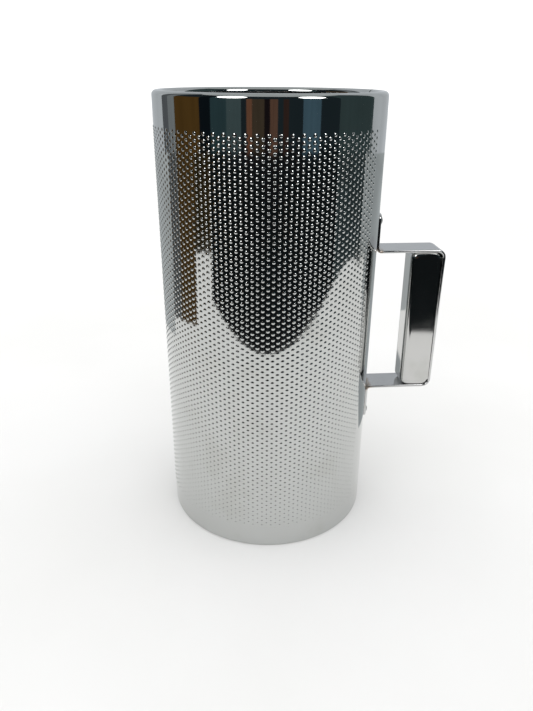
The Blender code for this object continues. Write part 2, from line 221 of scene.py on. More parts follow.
def domed_cell(half_width, half_height, foot, steepest, shares, sides, mid_sides=True):
    """One brick of wall with a dome in its middle: points (across, up, height, slopes) and faces.

    shares are the rings' radii as shares of the foot. mid_sides adds a point halfway up each side, where
    the staggered brick beside it has its corner.
    """
    points = [(0.0, 0.0)]
    rings = []
    for share in shares:
        ring = []
        for side in range(sides):
            angle = 2 * math.pi * side / sides
            ring.append((len(points), angle))
            points.append((foot * share * math.cos(angle), foot * share * math.sin(angle)))
        rings.append(ring)
    corners = [(half_width, half_height), (-half_width, half_height)]
    corners += [(-half_width, -half_height), (half_width, -half_height)]
    if mid_sides:
        corners = [(half_width, 0.0)] + corners[:2] + [(-half_width, 0.0)] + corners[2:]
    border = []
    for corner in corners:
        border.append((len(points), math.atan2(corner[1], corner[0]) % (2 * math.pi)))
        points.append(corner)

    faces = []
    first = rings[0]
    for this, following in zip(first, first[1:] + first[:1]):
        faces.append((0, this[0], following[0]))
    for inner, outer in zip(rings, rings[1:]):
        for side in range(sides):
            beyond = (side + 1) % sides
            faces.append((inner[side][0], outer[side][0], outer[beyond][0]))
            faces.append((inner[side][0], outer[beyond][0], inner[beyond][0]))
    faces += (stitch if mid_sides else stitch_corners)(rings[-1], border)

    points = np.array(points)
    distance = np.hypot(points[:, 0], points[:, 1])
    height, slope = dome_profile(distance, foot, steepest)
    level = distance >= 0.999 * foot
    height[level] = 0.0
    slope[level] = 0.0
    unit = points / np.maximum(distance, 1e-12)[:, None]
    return points, height, slope[:, None] * unit, np.array(faces)


def stitch_corners(ring, border):
    """As stitch, for a border whose first corner lies past angle 0."""
    faces = []
    step = len(ring) // len(border)
    count = len(ring)
    for number, (corner, _) in enumerate(border):
        start = number * step
        for k in range(step):
            faces.append((ring[(start + k) % count][0], corner, ring[(start + k + 1) % count][0]))
        following = border[(number + 1) % len(border)][0]
        faces.append((ring[(start + step) % count][0], corner, following))
    return faces


def lay_cells(patch, cell, azimuths, heights, radius, facing):
    """Repeat a cell on the wall. facing is 1 for the wall's outside and -1 for its inside."""
    points, lift, slopes, faces = cell
    azimuth = azimuths[:, None] + points[None, :, 0] / BODY_RADIUS
    height = heights[:, None] + points[None, :, 1]
    across, up = -slopes[None, :, 0], -slopes[None, :, 1]
    where, normals = on_cylinder(azimuth, radius + lift[None, :], height, across, 1.0, up)
    turned = faces if facing > 0 else faces[:, ::-1]
    starts = np.arange(len(azimuths)) * len(points)
    blocks = (turned[None] + starts[:, None, None]).reshape(-1, 3)
    patch.add(where, normals * facing, blocks)


def lay_grid(patch, azimuths, heights, radius, facing, lift=0.0, lean=0.0, share=1.0):
    """A plain stretch of wall.

    lift and lean give each azimuth's height and slope, and share how much of them each level has.
    """
    radius = radius + np.outer(lift, share)
    across = -np.outer(lean, share)
    where, normals = on_cylinder(azimuths[:, None], radius, heights[None], across, 1.0, 0.0)
    patch.add(where, normals * facing, grid_faces(len(azimuths), len(heights), facing))


def grid_faces(columns, rows, facing=1):
    """The quads of a grid whose points are numbered up each column in turn."""
    number = np.arange(columns * rows).reshape(columns, rows)
    corners = (number[:-1, :-1], number[1:, :-1], number[1:, 1:], number[:-1, 1:])
    faces = np.stack(corners, axis=-1).reshape(-1, 4)
    return faces if facing > 0 else faces[:, ::-1]


def lay_upright_edge(patch, azimuth, heights, facing):
    """The sheet's thickness along an upright edge. facing is 1 where it looks towards +azimuth."""
    where, normals = on_cylinder(azimuth, SHEET_FACES[:, None], heights[None], facing, 0.0, 0.0)
    patch.add(where, normals, grid_faces(2, len(heights), facing))


def lay_level_edge(patch, azimuths, height, facing, lift=0.0):
    """The sheet's thickness along a level edge. facing is 1 where it looks up."""
    radius = SHEET_FACES + np.outer(lift, (1.0, 0.0))
    where, normals = on_cylinder(azimuths[:, None], radius, height, 0.0, 0.0, facing)
    patch.add(where, normals, grid_faces(len(azimuths), 2, facing))


def lathe(patch, runs, azimuths):
    """Spin runs of (radius, height, outward normal, upward normal) points about the axis."""
    for run in runs:
        radius, height, out, up = np.array(run).T
        where, normals = on_cylinder(azimuths[:, None], radius, height, 0.0, out, up)
        patch.add(where, normals, grid_faces(len(azimuths), len(run)))


def straight_run(start, end):
    """A straight stretch of outline, with the solid on its left."""
    along = (Vector(end) - Vector(start)).normalized()
    return [(*start, along.y, -along.x), (*end, along.y, -along.x)]


def arc_run(centre, radius, start, end, steps, facing=1):
    """A round stretch of outline. facing is -1 where it looks towards its centre."""
    points = []
    for step in range(steps + 1):
        angle = math.radians(start + (end - start) * step / steps)
        cosine, sine = math.cos(angle), math.sin(angle)
        place = (centre[0] + radius * cosine, centre[1] + radius * sine)
        points.append((*place, facing * cosine, facing * sine))
    return points


def add_object(name, data):
    """Add an object to the scene."""
    placed = bpy.data.objects.new(name, data)
    bpy.context.scene.collection.objects.link(placed)
    return placed


def object_from(name, mesh, material, slot, *replaced):
    """Add a finished piece that rides on the one body, in place of the named CAD solids."""
    piece = add_object(name, mesh)
    mesh.materials.clear()
    mesh.materials.append(material)
    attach(piece, "root")
    if replaced:
        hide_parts(*replaced)
    return piece


def shade_round(mesh, sharp_degrees=40.0):
    mesh.shade_smooth()
    mesh.set_sharp_from_angle(angle=math.radians(sharp_degrees))


def smooth_mesh(name, shape, sharp_degrees=40.0):
    """Turn a bmesh into a mesh with round shading."""
    bmesh.ops.recalc_face_normals(shape, faces=shape.faces)
    mesh = bpy.data.meshes.new(name)
    shape.to_mesh(mesh)
    shape.free()
    shade_round(mesh, sharp_degrees)
    return mesh


def keep_flats_flat(piece):
    """Shade broad faces flat, and let the narrow rounded edges take the turn."""
    weighted = piece.modifiers.new("flat_faces", "WEIGHTED_NORMAL")
    weighted.weight = 100
    weighted.keep_sharp = True


# ---- materials ----


class Nodes:
    """Short names for building a material's node tree."""

    def __init__(self, name):
        self.material = bpy.data.materials.new(name)
        self.material.use_nodes = True
        self.tree = self.material.node_tree
        self.shader = self.tree.nodes["Principled BSDF"]
        coordinates = self.tree.nodes.new("ShaderNodeTexCoord")
        self.place = coordinates.outputs["Object"]

    def link(self, output, target):
        self.tree.links.new(output, target)

    def add(self, kind, inputs):
        """Add a node, and give its inputs their numbers or link them to outputs."""
        node = self.tree.nodes.new("ShaderNode" + kind)
        for name, value in inputs.items():
            if isinstance(value, bpy.types.NodeSocket):
                self.link(value, node.inputs[name])
            else:
                node.inputs[name].default_value = value
        return node

    def stretched(self, scale):
        return self.add("Mapping", {"Scale": scale, "Vector": self.place}).outputs["Vector"]

    def noise(self, scale, detail, roughness=0.5, place=None):
        inputs = {"Scale": scale, "Detail": detail, "Roughness": roughness, "Vector": place or self.place}
        return self.add("TexNoise", inputs).outputs["Fac"]

    def spots(self, scale):
        return self.add("TexVoronoi", {"Scale": scale, "Vector": self.place}).outputs["Distance"]

    def range(self, value, low, high):
        """0 at low and 1 at high, with a soft start and end. low may be the greater."""
        ranged = self.add("MapRange", {"From Min": low, "From Max": high, "Value": value})
        ranged.interpolation_type = "SMOOTHSTEP"
        return ranged.outputs["Result"]

    def math(self, kind, first, second=0.0):
        node = self.tree.nodes.new("ShaderNodeMath")
        node.operation = kind
        for socket, value in zip(node.inputs, (first, second)):
            if isinstance(value, (int, float)):
                socket.default_value = value
            else:
                self.link(value, socket)
        return node.outputs["Value"]

    def mix(self, share, first, second):
        mix = self.tree.nodes.new("ShaderNodeMix")
        mix.data_type = "RGBA"
        self.link(share, mix.inputs["Factor"])
        for socket, colour in ((mix.inputs["A"], first), (mix.inputs["B"], second)):
            if isinstance(colour, tuple):
                socket.default_value = (*colour, 1.0)
            else:
                self.link(colour, socket)
        return mix.outputs["Result"]

    def more(self, base, share, amount):
        """A base, with an amount added in step with a share."""
        return self.math("ADD", base, self.math("MULTIPLY", share, amount))

    def split_place(self):
        return self.add("SeparateXYZ", {"Vector": self.place}).outputs

    def within_wall(self):
        """1 on the wall's inner face, 0 on its outer face and on the rim."""
        split = self.split_place()
        across = self.math("POWER", self.math("SUBTRACT", split["X"], AXIS.x), 2.0)
        along = self.math("POWER", split["Y"], 2.0)
        radius = self.math("SQRT", self.math("ADD", across, along))
        inner = self.range(radius, BODY_RADIUS - OUTER_SKIN, BODY_RADIUS - INNER_SKIN)
        low = self.range(split["Z"], BODY_HEIGHT - 2 * RIM_RADIUS, BODY_HEIGHT - 3 * RIM_RADIUS)
        return self.math("MULTIPLY", inner, low)

    def bump(self, height, distance, strength=1.0):
        bump = self.add("Bump", {"Strength": strength, "Distance": distance, "Height": height})
        self.link(bump.outputs["Normal"], self.shader.inputs["Normal"])

    def metal(self, colour, roughness):
        self.shader.inputs["Metallic"].default_value = 1.0
        self.link(colour, self.shader.inputs["Base Color"])
        self.link(roughness, self.shader.inputs["Roughness"])


def chrome(name, colour, haze_colour, roughness, ripple, inside=None):
    """Mirror chrome with a faint haze of finger marks, fine hairlines and dried water spots.

    inside is a paler colour for the wall's inner face: painted light that brightens the dark inside. That
    face is also made rougher, less polished.
    """
    nodes = Nodes(name)
    marks = nodes.range(nodes.noise(26.0, 5.0, 0.62), 0.50, 0.72)
    hairlines = nodes.noise(1.0, 6.0, 0.7, nodes.stretched((900.0, 900.0, 60.0)))
    hairlines = nodes.range(hairlines, 0.56, 0.70)
    spots = nodes.range(nodes.spots(95.0), 0.06, 0.02)
    haze = nodes.math("ADD", nodes.math("MULTIPLY", marks, 0.7), nodes.math("MULTIPLY", spots, 0.3))
    rough = nodes.more(nodes.more(roughness, haze, roughness * 1.6), hairlines, roughness * 0.5)
    tone = nodes.mix(haze, colour, haze_colour)
    # painted light: the inner face gets a paler colour to brighten the dark inside, and more roughness for
    # its duller finish
    if inside:
        within = nodes.within_wall()
        tone = nodes.mix(within, tone, inside)
        rough = nodes.more(rough, within, 0.12)
    nodes.metal(tone, rough)
    nodes.bump(nodes.noise(34.0, 2.0, 0.4), ripple)
    return nodes.material


def stained_chrome(name, colour, stain_colour, roughness, heights, reach):
    """Chrome with a brownish bloom near the given heights and close to the wall, whose face is at reach."""
    nodes = Nodes(name)
    split = nodes.split_place()
    near = None
    for height in heights:
        up = nodes.math("ABSOLUTE", nodes.math("SUBTRACT", split["Z"], height))
        band = nodes.range(up, 5.0 * MM, 1.0 * MM)
        near = band if near is None else nodes.math("MAXIMUM", near, band)
    close = nodes.range(split["X"], reach + 9.0 * MM, reach + 2.0 * MM)
    bloom = nodes.math("MULTIPLY", nodes.math("MULTIPLY", near, close), nodes.noise(420.0, 4.0, 0.6))
    marks = nodes.range(nodes.noise(40.0, 5.0, 0.6), 0.48, 0.75)
    rough = nodes.more(nodes.more(roughness, marks, roughness * 1.5), bloom, 0.25)
    hazed = nodes.mix(marks, colour, tuple(0.93 * part for part in colour))
    nodes.metal(nodes.mix(nodes.range(bloom, 0.2, 0.55), hazed, stain_colour), rough)
    nodes.bump(nodes.noise(60.0, 2.0, 0.4), 0.02 * MM)
    return nodes.material


def plated_steel(name, colour, dull_colour, roughness, grain):
    """Plain plated steel: brighter and duller patches over a fine drawn grain."""
    nodes = Nodes(name)
    patches = nodes.range(nodes.noise(70.0, 5.0, 0.65), 0.38, 0.68)
    rough = nodes.more(roughness, patches, roughness * 0.6)
    nodes.metal(nodes.mix(patches, colour, dull_colour), rough)
    nodes.bump(nodes.noise(grain, 4.0, 0.6), 0.03 * MM, 0.6)
    return nodes.material


# ---- wall ----


def wall_piece(name, patch, material):
    object_from(name, patch.mesh(name), material, "body_chrome", "body_shell")


def dotted_panel(name, columns, material):
    """One upright panel of the wall: domes outside, their hollows inside, and its four edges."""
    patch = Patchwork()
    half_width = COLUMN_PITCH * BODY_RADIUS / 2
    half_height = DOME_PITCH / 2
    half = (half_width, half_height)
    outside = domed_cell(*half, DOME_FOOT, DOME_STEEPEST, DOME_RINGS, DOME_SIDES)
    inside = domed_cell(*half, HOLLOW_FOOT, DOME_STEEPEST, HOLLOW_RINGS, HOLLOW_SIDES)
    azimuths, heights = [], []
    for column in columns:
        azimuth = PLAIN_HALF_ANGLE + (column + 0.5) * COLUMN_PITCH
        stagger = half_height if column % 2 else 0.0
        azimuths += [azimuth] * DOMES_IN_COLUMN
        heights += [LOWEST_DOME + dome * DOME_PITCH + stagger for dome in range(DOMES_IN_COLUMN)]
        borders = np.array((azimuth - COLUMN_PITCH / 2, azimuth + COLUMN_PITCH / 2))
        spare = FIELD_BOTTOM if column % 2 else FIELD_TOP - half_height
        half_brick = np.array((spare, spare + half_height if column % 2 else FIELD_TOP))
        for radius, facing in ((BODY_RADIUS, 1), (WALL_INSIDE, -1)):
            lay_grid(patch, borders, half_brick, radius, facing)
    azimuths, heights = np.array(azimuths), np.array(heights)
    lay_cells(patch, outside, azimuths, heights, BODY_RADIUS, 1)
    lay_cells(patch, inside, azimuths, heights, WALL_INSIDE, -1)

    first, last = (PLAIN_HALF_ANGLE + number * COLUMN_PITCH for number in (columns[0], columns[-1] + 1))
    levels = np.linspace(FIELD_BOTTOM, FIELD_TOP, 2 * DOMES_IN_COLUMN + 2)
    lay_upright_edge(patch, first, levels, -1)
    lay_upright_edge(patch, last, levels, 1)
    borders = np.linspace(first, last, len(columns) + 1)
    lay_level_edge(patch, borders, FIELD_BOTTOM, -1)
    lay_level_edge(patch, borders, FIELD_TOP, 1)
    wall_piece(name, patch, material)


def seam_groove():
    """Azimuths across the seam's groove, with the height and slope at each."""
    share = np.linspace(-1.0, 1.0, SEAM_STEPS + 1)
    lift = -SEAM_DEPTH * (1 + np.cos(math.pi * share)) / 2
    lean = SEAM_DEPTH * math.pi / SEAM_HALF_WIDTH * np.sin(math.pi * share) / 2
    return SEAM_AZIMUTH + share * SEAM_HALF_WIDTH / BODY_RADIUS, lift, lean


def plain_panel(name, material):
    """The undotted strip behind the handle, with the seam's groove and a row of spot welds beside it."""
    patch = Patchwork()
    levels = np.linspace(FIELD_BOTTOM, FIELD_TOP, SPOT_WELD_COUNT + 1)
    half_height = (levels[1] - levels[0]) / 2
    groove, lift, lean = seam_groove()
    weld_middle = groove[-1] + SPOT_WELD_HALF_ANGLE
    before = np.linspace(-PLAIN_HALF_ANGLE, groove[0], STRIP_STEPS_BEFORE + 1)
    after = np.linspace(weld_middle + SPOT_WELD_HALF_ANGLE, PLAIN_HALF_ANGLE, STRIP_STEPS_AFTER + 1)
    half = (SPOT_WELD_HALF_ANGLE * BODY_RADIUS, half_height)
    shape = (SPOT_WELD_FOOT, -SPOT_WELD_STEEPEST, SPOT_WELD_RINGS, SPOT_WELD_SIDES)
    weld = domed_cell(*half, *shape, mid_sides=False)
    middles = levels[:-1] + half_height
    for radius, facing in ((BODY_RADIUS, 1), (WALL_INSIDE, -1)):
        lay_grid(patch, before, levels, radius, facing)
        lay_grid(patch, after, levels, radius, facing)
        if facing > 0:
            lay_grid(patch, groove, levels, radius, facing, lift, lean)
            lay_cells(patch, weld, np.full(SPOT_WELD_COUNT, weld_middle), middles, radius, facing)
        else:
            lay_grid(patch, groove, levels, radius, facing)
            lay_grid(patch, np.array((groove[-1], after[0])), levels, radius, facing)
    borders = np.concatenate((before, groove[1:], after))
    edge_lift = np.concatenate((np.zeros(len(before)), lift[1:], np.zeros(len(after))))
    lay_upright_edge(patch, -PLAIN_HALF_ANGLE, levels, -1)
    lay_upright_edge(patch, PLAIN_HALF_ANGLE, levels, 1)
    lay_level_edge(patch, borders, FIELD_BOTTOM, -1, edge_lift)
    lay_level_edge(patch, borders, FIELD_TOP, 1, edge_lift)
    wall_piece(name, patch, material)


def seamed_turn():
    """Azimuths for a full turn that follow the seam's groove, with the height and slope at each."""
    groove, lift, lean = seam_groove()
    rest = np.linspace(groove[-1], groove[0] + 2 * math.pi, TURN_STEPS + 1)[1:]
    level = np.zeros(len(rest))
    return np.concatenate((groove, rest)), np.concatenate((lift, level)), np.concatenate((lean, level))


def top_band(name, material):
    """The plain band between the domes and the rim's curl."""
    patch = Patchwork()
    azimuths, lift, lean = seamed_turn()
    levels = np.array((FIELD_TOP, BODY_HEIGHT - RIM_RADIUS))
    lay_grid(patch, azimuths, levels, BODY_RADIUS, 1, lift, lean)
    lay_grid(patch, azimuths, levels, WALL_INSIDE, -1)
    lay_level_edge(patch, azimuths, levels[0], -1, lift)
    lay_level_edge(patch, azimuths, levels[1], 1, lift)
    wall_piece(name, patch, material)


def rim_curl(name, material):
    """The sheet's edge rolled inwards. Its two ends leave a narrow gap at the seam."""
    patch = Patchwork()
    centre = (BODY_RADIUS - RIM_RADIUS, BODY_HEIGHT - RIM_RADIUS)
    middle = RIM_RADIUS - SHEET / 2
    end = math.radians(RIM_CURL_DEGREES)
    lip = (centre[0] + middle * math.cos(end), centre[1] + middle * math.sin(end))
    runs = [
        arc_run(centre, RIM_RADIUS, 0.0, RIM_CURL_DEGREES, CURL_STEPS),
        arc_run(lip, SHEET / 2, RIM_CURL_DEGREES, RIM_CURL_DEGREES + 180.0, LIP_STEPS),
        arc_run(centre, RIM_RADIUS - SHEET, RIM_CURL_DEGREES, 0.0, CURL_INSIDE_STEPS, facing=-1),
        straight_run((WALL_INSIDE, centre[1]), (BODY_RADIUS, centre[1])),
    ]
    half_gap = SEAM_NOTCH / 2 / BODY_RADIUS
    first = SEAM_AZIMUTH + half_gap
    last = SEAM_AZIMUTH + 2 * math.pi - half_gap
    lathe(patch, runs, np.linspace(first, last, TURN_STEPS + 1))
    for azimuth, facing in ((first, -1), (last, 1)):
        close_curl(patch, centre, azimuth, facing)
    wall_piece(name, patch, material)


def close_curl(patch, centre, azimuth, facing):
    """The cut end of the curl at the seam: a curved strip as thick as the sheet."""
    outer = np.array(arc_run(centre, RIM_RADIUS, 0.0, RIM_CURL_DEGREES, CURL_STEPS))
    inner = np.array(arc_run(centre, RIM_RADIUS - SHEET, 0.0, RIM_CURL_DEGREES, CURL_STEPS))
    radius = np.stack((outer[:, 0], inner[:, 0]))
    height = np.stack((outer[:, 1], inner[:, 1]))
    where, normals = on_cylinder(azimuth, radius, height, facing, 0.0, 0.0)
    patch.add(where, normals, grid_faces(2, len(outer), facing))


def foot_hem(name, material):
    """The plain band at the bottom, its edge folded inwards and up against the wall."""
    patch = Patchwork()
    fold = HEM_THICKNESS / 2
    lip = SHEET / 2
    hem_inside = BODY_RADIUS - HEM_THICKNESS
    slot_inside = hem_inside + SHEET
    slot_floor = HEM_HEIGHT - HEM_SLOT_DEPTH
    slot = [(WALL_INSIDE, FIELD_BOTTOM), (WALL_INSIDE, slot_floor)]
    slot += [(slot_inside, slot_floor), (slot_inside, HEM_HEIGHT - lip)]
    runs = [arc_run((BODY_RADIUS - fold, fold), fold, 180.0, 360.0, FOLD_STEPS)]
    runs += [straight_run(start, end) for start, end in zip(slot, slot[1:])]
    runs.append(arc_run((hem_inside + lip, HEM_HEIGHT - lip), lip, 0.0, 180.0, LIP_STEPS))
    runs.append(straight_run((hem_inside, HEM_HEIGHT - lip), (hem_inside, fold)))
    azimuths, lift, lean = seamed_turn()
    lathe(patch, runs, azimuths)
    levels = np.array((fold, fold + HEM_THICKNESS, FIELD_BOTTOM))
    lay_grid(patch, azimuths, levels, BODY_RADIUS, 1, lift, lean, np.array((0.0, 1.0, 1.0)))
    lay_level_edge(patch, azimuths, FIELD_BOTTOM, 1, lift)
    wall_piece(name, patch, material)


def wall(material):
    for number, columns in enumerate(np.array_split(np.arange(COLUMN_COUNT), PANEL_COUNT)):
        dotted_panel(f"wall_domed_panel_{number + 1}", columns.tolist(), material)
    plain_panel("wall_plain_panel", material)
    top_band("wall_top_band", material)
    rim_curl("wall_rim_curl", material)
    foot_hem("wall_foot_hem", material)


# ---- handle ----


def bend(centre_x, centre_z, radius, start, end, steps=10):
    return [point[:2] for point in arc_run((centre_x, centre_z), radius, start, end, steps)]


def eased(radius, steps):
    """Distances from 0 to a radius, as a quarter turn of it is seen from the side."""
    return [radius * (1 - math.cos(math.radians(90.0 * step / steps))) for step in range(steps + 1)]


def strap_stations():
    """Stations along the middle of the strap, as (x from the axis, z, half width, half thickness)."""
    half = (strap_high.y - strap_low.y) / 2
    thick = STRAP_THICKNESS / 2
    arm_top = grip_high.z + GAP + thick
    arm_bottom = grip_low.z - GAP - thick
    front = strap_high.x - AXIS.x - thick
    turn = front - OUTER_BEND_RADIUS
    ends = eased(STRAP_EDGE, TIP_EDGE_STEPS)
    ends += [down for down in eased(TAB_CORNER, TIP_CORNER_STEPS) if down > 1.3 * STRAP_EDGE]
    tip = []
    for down in ends:
        corner = math.sqrt(max(TAB_CORNER**2 - (TAB_CORNER - down) ** 2, 0.0))
        edge = math.sqrt(max(STRAP_EDGE**2 - max(STRAP_EDGE - down, 0.0) ** 2, 0.0))
        tip.append((down, half - TAB_CORNER + corner, thick - STRAP_EDGE + edge))
    blend = [STRAP_ROOT + ROOT_BLEND * step / BLEND_STEPS for step in range(1, BLEND_STEPS + 1)]

    path = bend(STRAP_ROOT, arm_top + TAB_BEND_RADIUS, TAB_BEND_RADIUS, 180, 270)
    path += [(x, arm_top) for x in blend]
    path += bend(turn, arm_top - OUTER_BEND_RADIUS, OUTER_BEND_RADIUS, 90, 0)
    path += bend(turn, arm_bottom + OUTER_BEND_RADIUS, OUTER_BEND_RADIUS, 0, -90)
    path += [(x, arm_bottom) for x in reversed(blend)]
    path += bend(STRAP_ROOT, arm_bottom - TAB_BEND_RADIUS, TAB_BEND_RADIUS, 90, 180)
    stations = [(TAB_MIDDLE, strap_high.z - down, width, depth) for down, width, depth in tip]
    stations += [(x, z, half, thick) for x, z in path]
    stations += [(TAB_MIDDLE, strap_low.z + down, width, depth) for down, width, depth in reversed(tip)]
    return stations


def wall_sag(reach, y):
    """How far a strap point moves towards the axis, so that the tabs follow the round wall."""
    share = min(1.0, max(0.0, 1.0 - (reach - STRAP_ROOT) / ROOT_BLEND))
    return share * (TAB_MIDDLE - math.sqrt(TAB_MIDDLE**2 - y**2))


def strap_section(half, thick):
    """The strap's section as (y, out) points: flat sides and rounded edges."""
    edge = thick - (STRAP_THICKNESS / 2 - STRAP_EDGE)
    flat = half - edge
    section = [(flat * (2 * column / STRAP_COLUMNS - 1), thick) for column in range(STRAP_COLUMNS)]
    for centre_y, centre_out, start in ((flat, thick - edge, 90.0), (flat, edge - thick, 0.0)):
        for step in range(STRAP_EDGE_STEPS + 1):
            angle = math.radians(start - 90.0 * step / STRAP_EDGE_STEPS)
            section.append((centre_y + edge * math.cos(angle), centre_out + edge * math.sin(angle)))
    other = [(-y, -out) for y, out in section]
    return section + other


def handle_strap(material):
    """The bent strap: its section swept along the stations, with both tabs following the round wall."""
    stations = strap_stations()
    shape = bmesh.new()
    rings = []
    for number, (x, z, half, thick) in enumerate(stations):
        before = stations[max(number - 1, 0)]
        after = stations[min(number + 1, len(stations) - 1)]
        run = math.hypot(after[0] - before[0], after[1] - before[1])
        normal_x = -(after[1] - before[1]) / run
        normal_z = (after[0] - before[0]) / run
        ring = []
        for y, out in strap_section(half, thick):
            reach = x + normal_x * out
            ring.append(shape.verts.new((AXIS.x + reach - wall_sag(reach, y), y, z + normal_z * out)))
        rings.append(ring)
    for ring, following in zip(rings, rings[1:]):
        for corner in range(len(ring)):
            beyond = (corner + 1) % len(ring)
            shape.faces.new((ring[corner], ring[beyond], following[beyond], following[corner]))
    for ring in (rings[0], rings[-1]):
        shape.faces.new(ring)
    bmesh.ops.remove_doubles(shape, verts=shape.verts, dist=WELD)
    mesh = smooth_mesh("strap_bent", shape)
    keep_flats_flat(object_from("strap_bent", mesh, material, "strap_chrome", "handle_strap"))


def soft_edges(piece, name, width, segments, limit):
    soften = piece.modifiers.new(name, "BEVEL")
    soften.width = width
    soften.segments = segments
    soften.limit_method = limit
    return soften


def applied(block, *tools):
    """An object's mesh with its modifiers applied. The object and its tools are removed."""
    bpy.context.view_layer.update()
    ready = block.evaluated_get(bpy.context.evaluated_depsgraph_get())
    result = bpy.data.meshes.new_from_object(ready)
    for piece in (block, *tools):
        bpy.data.objects.remove(piece)
    return result


def rounded_box(low, high, corner_radius, edge_radius, side_radius):
    """A box with rounded corners in its broad face, and edges rounded more on the -X side.

    The two upright edges at +X stay sharp, where the box sits against the strap.
    """
    shape = bmesh.new()
    bmesh.ops.create_cube(shape, size=1.0)
    for corner in shape.verts:
        for axis in range(3):
            corner.co[axis] = (low[axis] + high[axis]) / 2 + corner.co[axis] * (high[axis] - low[axis])
    crosswise = [edge for edge in shape.edges if abs(edge.verts[0].co.y - edge.verts[1].co.y) > corner_radius]
    steps = GRIP_ROUND_STEPS
    bmesh.ops.bevel(shape, geom=crosswise, offset=corner_radius, segments=steps, profile=0.5, affect="EDGES")
    width = shape.edges.layers.float.new("bevel_weight_edge")
    for edge in shape.edges:
        start, end = (corner.co for corner in edge.verts)
        if abs(start.y - end.y) > 0.5 * corner_radius:
            continue
        if min(start.x, end.x) > high[0] - 0.1 * MM:
            continue
        share = 1 - min(1.0, ((start.x + end.x) / 2 - low[0]) / corner_radius)
        edge[width] = (edge_radius + (side_radius - edge_radius) * share**0.5) / side_radius
    block = add_object("block", smooth_mesh("box", shape))
    soft_edges(block, "soften", side_radius, steps, "WEIGHT").use_clamp_overlap = False
    return applied(block)


def cut(mesh, *cutters):
    """Cut shapes out of a mesh and return the result as a new mesh."""
    block = add_object("block", mesh)
    tools = []
    for shape in cutters:
        tool = add_object("tool", shape if isinstance(shape, bpy.types.Mesh) else smooth_mesh("tool", shape))
        step = block.modifiers.new("cut", "BOOLEAN")
        step.operation = "DIFFERENCE"
        step.solver = "EXACT"
        step.object = tool
        tools.append(tool)
    return applied(block, *tools)


def handle_grip(material):
    """The pressed hollow grip, set a little askew. Its open side faces the strap between two lips."""
    low, high = tuple(grip_low), tuple(grip_high)
    outside = rounded_box(low, high, *GRIP_RADII)
    hollow_low = [value + GRIP_SHEET for value in low]
    hollow_high = [value - GRIP_SHEET for value in high]
    hollow = rounded_box(hollow_low, hollow_high, *(radius - GRIP_SHEET for radius in GRIP_RADII))
    mouth = bmesh.new()
    bmesh.ops.create_cube(mouth, size=1.0)
    for corner in mouth.verts:
        corner.co.x = high[0] + corner.co.x * GRIP_MOUTH_DEPTH
        corner.co.y *= high[1] - low[1] - GRIP_MOUTH_MARGINS
        corner.co.z = (low[2] + high[2]) / 2 + corner.co.z * (high[2] - low[2] - 2 * GRIP_LIP)
    mesh = cut(outside, hollow, mouth)
    middle = (low[2] + high[2]) / 2
    for corner in mesh.vertices:
        corner.co.y += math.tan(GRIP_LEAN) * (corner.co.z - middle)
    shade_round(mesh)
    keep_flats_flat(object_from("grip_pressed", mesh, material, "grip_chrome", "grip_shell"))


def spun(profile, segments):
    """Spin a profile of (radius, height) points about Z."""
    shape = bmesh.new()
    ring = [shape.verts.new((radius, 0.0, height)) for radius, height in profile]
    edges = [shape.edges.new(pair) for pair in zip(ring, ring[1:])]
    turn = {"axis": (0, 0, 1), "cent": (0, 0, 0), "angle": 2 * math.pi, "steps": segments}
    bmesh.ops.spin(shape, geom=ring + edges, use_merge=True, **turn)
    bmesh.ops.remove_doubles(shape, verts=shape.verts, dist=WELD)
    return shape


def dome_points(radius, base, height, steps):
    """A low dome's profile, from its edge at the base up to its top on the axis."""
    sphere = (radius**2 + height**2) / (2 * height)
    centre = base + height - sphere
    edge = math.degrees(math.asin((sphere - height) / sphere))
    points = bend(0.0, centre, sphere, edge, 90.0, steps)
    points[-1] = (0.0, base + height)
    return points


def stand_along_radius(mesh, azimuth, height):
    """Turn a mesh made about Z so that it points out of the wall at an azimuth and a height."""
    turn = Matrix.Rotation(azimuth, 4, "Z") @ Matrix.Rotation(math.pi / 2, 4, "Y")
    mesh.transform(Matrix.Translation(AXIS + Vector((0.0, 0.0, height))) @ turn)
    return mesh


def middle_of(node):
    low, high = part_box(node)
    return (low + high) / 2


def rivets(material):
    """Domed heads on a shallow collar outside, and flat formed tails inside."""
    head_base = BODY_RADIUS + GAP + STRAP_THICKNESS
    profile = [(radius * MM, WALL_INSIDE - within * MM) for radius, within in RIVET_TAIL]
    profile += [(RIVET_SHANK, WALL_INSIDE), (RIVET_SHANK, head_base), (RIVET_HEAD, head_base)]
    profile += dome_points(RIVET_HEAD, head_base + RIVET_COLLAR, RIVET_DOME, DOME_STEPS)
    for level in ("upper", "lower"):
        for side in ("front", "back"):
            node = f"handle_rivet_{level}_{side}"
            where = middle_of(node)
            azimuth = math.atan2(where.y, where.x - AXIS.x)
            name = f"rivet_{level}_{side}"
            mesh = stand_along_radius(smooth_mesh(name, spun(profile, SPUN_STEPS)), azimuth, where.z)
            object_from(name, mesh, material, "rivet_steel", node)


def drive_recess(top):
    """A cross-shaped recess that narrows downwards, for a screwdriver."""
    shapes = []
    for turn in (0.0, math.pi / 2):
        shape = bmesh.new()
        bmesh.ops.create_cube(shape, size=1.0)
        for corner in shape.verts:
            deep = corner.co.z < 0
            length, width = RECESS_FLOOR if deep else RECESS_MOUTH
            corner.co.x *= length
            corner.co.y *= width
            corner.co.z = top - RECESS_DEPTH if deep else top + RECESS_ABOVE
        bmesh.ops.rotate(shape, verts=shape.verts, cent=(0, 0, 0), matrix=Matrix.Rotation(turn, 3, "Z"))
        shapes.append(shape)
    return shapes


